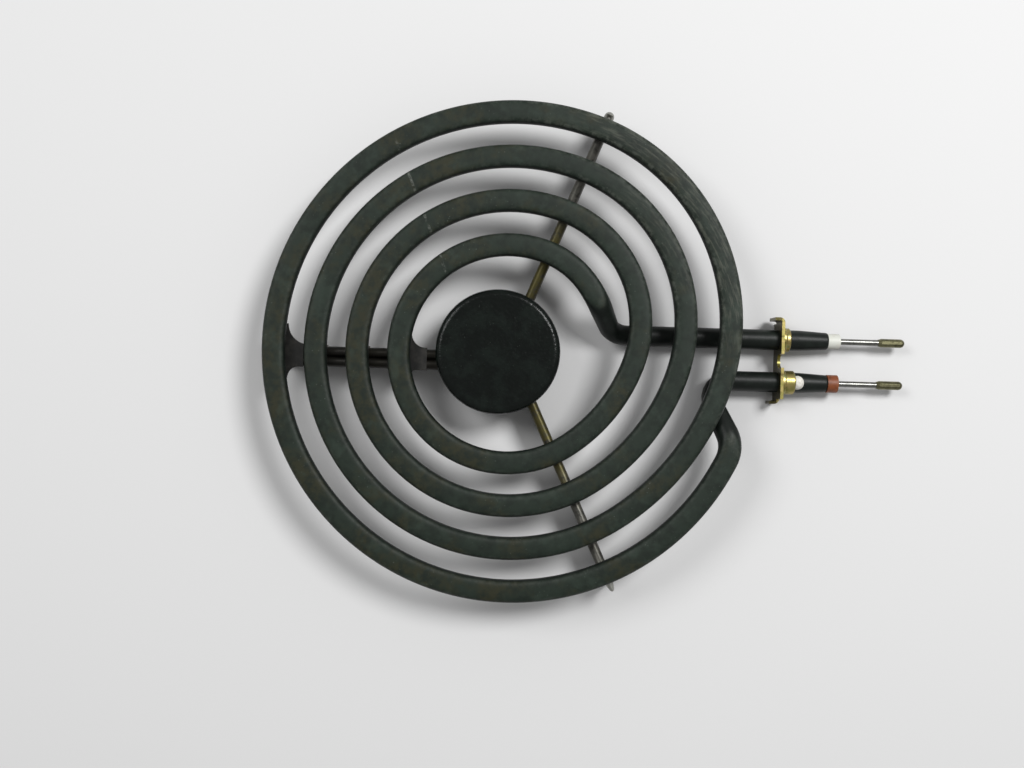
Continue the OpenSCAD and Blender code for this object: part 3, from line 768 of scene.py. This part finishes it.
def swaged_end(mesh_maker, ring, steps):
    """Carries a ring along X through (place, radius) steps, from its present radius."""
    verts = only(bmesh.types.BMVert, ring)
    middle = middle_of(verts)
    place, radius = middle.x, (verts[0].co - middle).length
    for x, new in steps:
        ring = run_on(mesh_maker, ring, (x - place, 0, 0), new / radius)
        place, radius = x, new
    return ring


def build_tube(coil, material):
    mesh_maker = bmesh.new()
    outer = tube_skin(mesh_maker, coil, 0.0, OUTER_SPACING)
    inner = tube_skin(mesh_maker, coil, coil.wall, INNER_SPACING)
    bore = coil.end_radius - coil.wall
    for side, end in TUBE_ENDS.items():
        taper = [(SWAGE_START + past, coil.leg_radius - less) for past, less in SWAGE_TAPER]
        rolled = [(end - before, coil.end_radius - less) for before, less in ROLLED_END]
        outside = swaged_end(mesh_maker, outer[side], taper + rolled)
        mouth = [(end - before, bore - less) for before, less in BORE_MOUTH]
        inside = swaged_end(mesh_maker, inner[side], [(SWAGE_START + BORE_START, bore)] + mouth)
        rims = only(bmesh.types.BMEdge, outside) + only(bmesh.types.BMEdge, inside)
        bmesh.ops.bridge_loops(mesh_maker, edges=rims)
    return finished_piece("heater_tube", mesh_maker, material, "element_sheath")


# ---------------------------------------------------------------- support strips


# Where each strip turns out under the medallion, and the direction of its single arm.
CORNERS = {"upper": (2.0, -1.3), "lower": (5.9, -4.5)}
ARM_ANGLES = {"upper": 68.0, "lower": -65.0}
FOLD_STEPS = 12
CORNER_STEPS = 10
END_STEPS = 6
NOSE_STEPS = 4
# An end stops this share of its width short of closing to an edge.
LEAST_WIDTH = 0.02
# Outside the turn the fold goes up in short steps: their length, and each one's share of the rise.
RISE_BEFORE = 0.6
RISE_STEP = 0.3
RISE_SHARES = (0.3, 0.7)
# The upper nose's hollow: its half width as a share of the strip's, its edge's steepness, its depth.
HOLLOW_WIDTH = 0.6
HOLLOW_EDGE = 3
HOLLOW_DEPTH = 1.3
# Width of the lower nose's point, as a share of the strip's.
POINT_WIDTH = 0.5
# How far above the fold's start, mm, a point has to be to count as part of the fold.
FOLD_MARGIN = 0.001
SHARP_ANGLE = math.radians(50)


def fold_chain(mesh_maker, place, half, top):
    """The open section of a folded strip that heads along X: two sides and a round fold."""
    fold = [math.pi * step / FOLD_STEPS for step in range(FOLD_STEPS + 1)]
    section = [(-half, 0.0)]
    section += [(-half * math.cos(t), top - half + half * math.sin(t)) for t in fold]
    section.append((half, 0.0))
    verts = [mesh_maker.verts.new((place.x, place.y + across, z)) for across, z in section]
    return verts + [mesh_maker.edges.new(pair) for pair in zip(verts, verts[1:])]


def squeeze(mesh_maker, ring, angle, factor):
    """Narrows a section across a heading, about its own middle."""
    verts = only(bmesh.types.BMVert, ring)
    space = Matrix.Rotation(-angle, 4, "Z") @ Matrix.Translation(-middle_of(verts))
    bmesh.ops.scale(mesh_maker, vec=(1, factor, 1), verts=verts, space=space)


def round_end(mesh_maker, ring, angle, half, top):
    """Closes a strip's end: half round from above, with its fold rounded down."""
    heading = Vector((math.cos(angle), math.sin(angle), 0))
    place, width = 0.0, 1.0
    for step in range(1, END_STEPS + 1):
        turn = math.pi / 2 * step / END_STEPS
        forward, share = half * math.sin(turn), max(math.cos(turn), LEAST_WIDTH)
        ring = run_on(mesh_maker, ring, heading * (forward - place))
        squeeze(mesh_maker, ring, angle, share / width)
        high = [v for v in only(bmesh.types.BMVert, ring) if v.co.z > top - half + FOLD_MARGIN]
        level = Matrix.Translation((0, 0, half - top))
        bmesh.ops.scale(mesh_maker, vec=(1, 1, share / width), verts=high, space=level)
        place, width = forward, share


def raise_fold(ring, level, rise):
    for vert in only(bmesh.types.BMVert, ring):
        if vert.co.z > level:
            vert.co.z += rise


def looped_nose(mesh_maker, ring, corner, angle, half, length, top):
    """An open loop: the nose's middle lies lower than its rim."""
    heading = Vector((math.cos(angle), math.sin(angle), 0))
    sideways = Vector((-heading.y, heading.x, 0))
    loop = []
    for _ in range(NOSE_STEPS):
        ring = run_on(mesh_maker, ring, heading * (length - half) / NOSE_STEPS)
        loop += only(bmesh.types.BMVert, ring)
    round_end(mesh_maker, ring, angle, half, top)
    for vert in loop:
        share = 1 - abs((vert.co - corner).dot(sideways)) / (HOLLOW_WIDTH * half)
        if share > 0:
            vert.co.z -= min(1.0, share * HOLLOW_EDGE) * HOLLOW_DEPTH


def pointed_nose(mesh_maker, ring, angle, half, length, top):
    """A blunt point."""
    heading = Vector((math.cos(angle), math.sin(angle), 0))
    widths = [1 - (1 - POINT_WIDTH) * step / NOSE_STEPS for step in range(NOSE_STEPS + 1)]
    for before, after in zip(widths, widths[1:]):
        ring = run_on(mesh_maker, ring, heading * (length - half * POINT_WIDTH) / NOSE_STEPS)
        squeeze(mesh_maker, ring, angle, after / before)
    round_end(mesh_maker, ring, angle, half * POINT_WIDTH, top)


def build_strip(side, coil, sizes, material):
    node = "support_strip_" + side
    low, high = box_mm(node)
    half = sizes.width / 2
    top = high.z - sizes.nose_rise
    corner = Vector((*CORNERS[side], 0))
    angle = math.radians(ARM_ANGLES[side])
    heading = Vector((math.cos(angle), math.sin(angle), 0))
    inset = sizes.corner_bend * math.tan(abs(angle) / 2)
    start = Vector((low.x + half, corner.y, 0))

    mesh_maker = bmesh.new()
    first = fold_chain(mesh_maker, start, half, top)
    round_end(mesh_maker, first, math.pi, half, top)
    ring = run_on(mesh_maker, first, (corner.x - inset - start.x, 0, 0))
    turn_side = math.copysign(1, angle)
    centre = corner + Vector((-inset, turn_side * sizes.corner_bend, 0))
    ring = run_round(mesh_maker, ring, centre, (0, 0, turn_side), abs(angle), CORNER_STEPS)

    # Out to the outer turn's edge, and on to the nose.
    offset = corner - SPIRAL_AT
    edge = coil.outer_radius + coil.tube_radius
    along = offset.dot(heading)
    reach = -along + math.sqrt(along * along - offset.length_squared + edge * edge)
    ring = run_on(mesh_maker, ring, heading * (reach - inset - RISE_BEFORE))
    fold_level = top - half - FOLD_MARGIN
    for share in RISE_SHARES:
        ring = run_on(mesh_maker, ring, heading * RISE_STEP)
        raise_fold(ring, fold_level, sizes.nose_rise * share)
    nose_top = top + sizes.nose_rise
    length = sizes.nose - RISE_STEP
    if side == "upper":
        looped_nose(mesh_maker, ring, corner, angle, half, length, nose_top)
    else:
        pointed_nose(mesh_maker, ring, angle, half, length, nose_top)
    name = "folded_strip_" + side
    piece = finished_piece(name, mesh_maker, material, node, SHARP_ANGLE)
    wall = piece.modifiers.new("sheet", "SOLIDIFY")
    wall.thickness = sizes.sheet * MM
    wall.offset = -1.0
    return piece


# ---------------------------------------------------------------- operators


class BURNER_OT_tube(bpy.types.Operator):
    """Bends the flat-topped heater tube"""

    bl_idname = "burner.tube"
    bl_label = "Heater tube"

    def execute(self, context):
        build_tube(context.scene.burner_coil, oxide_finish(context.scene.burner_finishes))
        coat(magnesia_finish(), "magnesia_core")
        coat(resistance_finish(), "resistance_winding")
        return {"FINISHED"}


class BURNER_OT_medallion(bpy.types.Operator):
    """Finishes the medallion and its hub plate"""

    bl_idname = "burner.medallion"
    bl_label = "Medallion"

    def execute(self, context):
        coat(enamel_finish(context.scene.burner_finishes), "medallion_cap")
        coat(plain_steel_finish(), "hub_plate")
        return {"FINISHED"}


class BURNER_OT_support(bpy.types.Operator):
    """Folds the two strips, and finishes their rivets and the clips"""

    bl_idname = "burner.support"
    bl_label = "Support"

    def execute(self, context):
        scene = context.scene
        tinted = tinted_finish(scene.burner_finishes)
        for side in ("upper", "lower"):
            build_strip(side, scene.burner_coil, scene.burner_strips, tinted)
        coat(plain_steel_finish(), "arm_rivets")
        coat(dark_steel_finish(), "outer_turn_clip", "inner_turn_clip")
        return {"FINISHED"}


class BURNER_OT_terminals(bpy.types.Operator):
    """Finishes the pins, tips, end pieces, collars and bracket"""

    bl_idname = "burner.terminals"
    bl_label = "Terminals"

    def execute(self, context):
        looks = context.scene.burner_finishes
        coat(pin_finish(looks), "terminal_pin_upper", "terminal_pin_lower")
        coat(tip_finish(looks), "contact_tip_upper", "contact_tip_lower")
        coat(zinc_finish(looks), "mounting_bracket", "collar_upper", "collar_lower")
        coat(steatite_finish(looks), "ceramic_bushing")
        coat(silicone_finish(looks), "silicone_seal")
        coat(cement_finish(), "cement_dab")
        return {"FINISHED"}


class BURNER_OT_stage(bpy.types.Operator):
    """Sets up the floor, lights, world and camera"""

    bl_idname = "burner.stage"
    bl_label = "Stage"

    def execute(self, context):
        make_floor(context.scene.burner_finishes)
        make_lights()
        make_camera()
        context.scene.view_settings.view_transform = "Standard"
        return {"FINISHED"}


# ---------------------------------------------------------------- studio


# Metres, watts, and (place, power, width) of each lamp.
FLOOR_HALF = 4.0
FLOOR_DROP = -0.0002
FLOOR_BOUNCE = (0.20, 0.20, 0.20)
LAMP_AIM = (0, 0, 0.01)
LAMPS = {
    "key_light": ((0.42, 0.34, 0.75), 5.6, 0.30),
    "fill_light": ((-0.50, 0.30, 0.70), 2.6, 0.40),
}
WORLD_STRENGTH = 0.34
CAMERA_PLACE = (0.00477, -0.01002, 0.340)
CAMERA_TURN = math.radians(1.7)
SENSOR_WIDTH, FOCAL_LENGTH = 36.0, 36.07
NEAREST_SEEN = 0.01


def make_floor(looks):
    floor_maker = bmesh.new()
    bmesh.ops.create_grid(floor_maker, x_segments=2, y_segments=2, size=FLOOR_HALF)
    mesh = bpy.data.meshes.new("studio_floor")
    floor_maker.to_mesh(mesh)
    floor_maker.free()
    floor = bpy.data.objects.new("studio_floor", mesh)
    floor.location.z = FLOOR_DROP
    bpy.context.scene.collection.objects.link(floor)
    mesh.materials.append(floor_finish(looks))


def floor_finish(looks):
    """Pale where it is seen, and greyer in what it throws back onto the model."""
    f = Finish("floor_finish")
    f.set(Base_Color=looks.floor, Roughness=0.9, Specular_IOR_Level=0.1)
    dim = f.tree.nodes.new("ShaderNodeBsdfDiffuse")
    f.feed(dim.inputs["Color"], FLOOR_BOUNCE)
    rays = f.tree.nodes.new("ShaderNodeLightPath")
    seen = f.number("MAXIMUM", rays.outputs["Is Camera Ray"], rays.outputs["Is Glossy Ray"])
    seen = f.number("MAXIMUM", seen, rays.outputs["Is Transmission Ray"])
    blend = f.tree.nodes.new("ShaderNodeMixShader")
    f.link(seen, blend.inputs[0])
    f.link(dim.outputs["BSDF"], blend.inputs[1])
    f.link(f.shader.outputs["BSDF"], blend.inputs[2])
    f.link(blend.outputs["Shader"], f.out.inputs["Surface"])
    return f.material


def make_lights():
    for name, (place, power, width) in LAMPS.items():
        lamp = bpy.data.lights.new(name, "AREA")
        lamp.shape = "DISK"
        lamp.size = width
        lamp.energy = power
        light = bpy.data.objects.new(name, lamp)
        light.location = place
        aim = Vector(LAMP_AIM) - Vector(place)
        light.rotation_euler = aim.to_track_quat("-Z", "Y").to_euler()
        bpy.context.scene.collection.objects.link(light)
    world = bpy.data.worlds.new("studio_world")
    world.use_nodes = True
    bpy.context.scene.world = world
    back = world.node_tree.nodes["Background"]
    back.inputs["Color"].default_value = (1, 1, 1, 1)
    back.inputs["Strength"].default_value = WORLD_STRENGTH


def make_camera():
    lens = bpy.data.cameras.new("camera")
    lens.sensor_width = SENSOR_WIDTH
    lens.lens = FOCAL_LENGTH
    lens.clip_start = NEAREST_SEEN
    camera = bpy.data.objects.new("camera", lens)
    camera.location = CAMERA_PLACE
    camera.rotation_euler = (0, 0, CAMERA_TURN)
    bpy.context.scene.collection.objects.link(camera)
    bpy.context.scene.camera = camera


# ---------------------------------------------------------------- panel and start


class BURNER_PT_panel(bpy.types.Panel):
    """Lists the burner's steps and sizes"""

    bl_label = "Burner element"
    bl_idname = "BURNER_PT_panel"
    bl_space_type = "VIEW_3D"
    bl_region_type = "UI"
    bl_category = "Burner"

    def draw(self, context):
        scene = context.scene
        for operator in OPERATORS:
            self.layout.operator(operator.bl_idname)
        for group in (scene.burner_coil, scene.burner_strips, scene.burner_finishes):
            column = self.layout.column(align=True)
            for name in group.__annotations__:
                column.prop(group, name)


OPERATORS = (
    BURNER_OT_stage,
    BURNER_OT_tube,
    BURNER_OT_medallion,
    BURNER_OT_support,
    BURNER_OT_terminals,
)
CLASSES = (CoilSizes, StripSizes, Finishes) + OPERATORS + (BURNER_PT_panel,)


def register():
    for item in CLASSES:
        bpy.utils.register_class(item)
    bpy.types.Scene.burner_coil = PointerProperty(type=CoilSizes)
    bpy.types.Scene.burner_strips = PointerProperty(type=StripSizes)
    bpy.types.Scene.burner_finishes = PointerProperty(type=Finishes)


def unregister():
    del bpy.types.Scene.burner_finishes
    del bpy.types.Scene.burner_strips
    del bpy.types.Scene.burner_coil
    for item in reversed(CLASSES):
        bpy.utils.unregister_class(item)


def main():
    register()
    bpy.ops.burner.stage()
    bpy.ops.burner.tube()
    bpy.ops.burner.medallion()
    bpy.ops.burner.support()
    bpy.ops.burner.terminals()


if __name__ == "__main__":
    main()
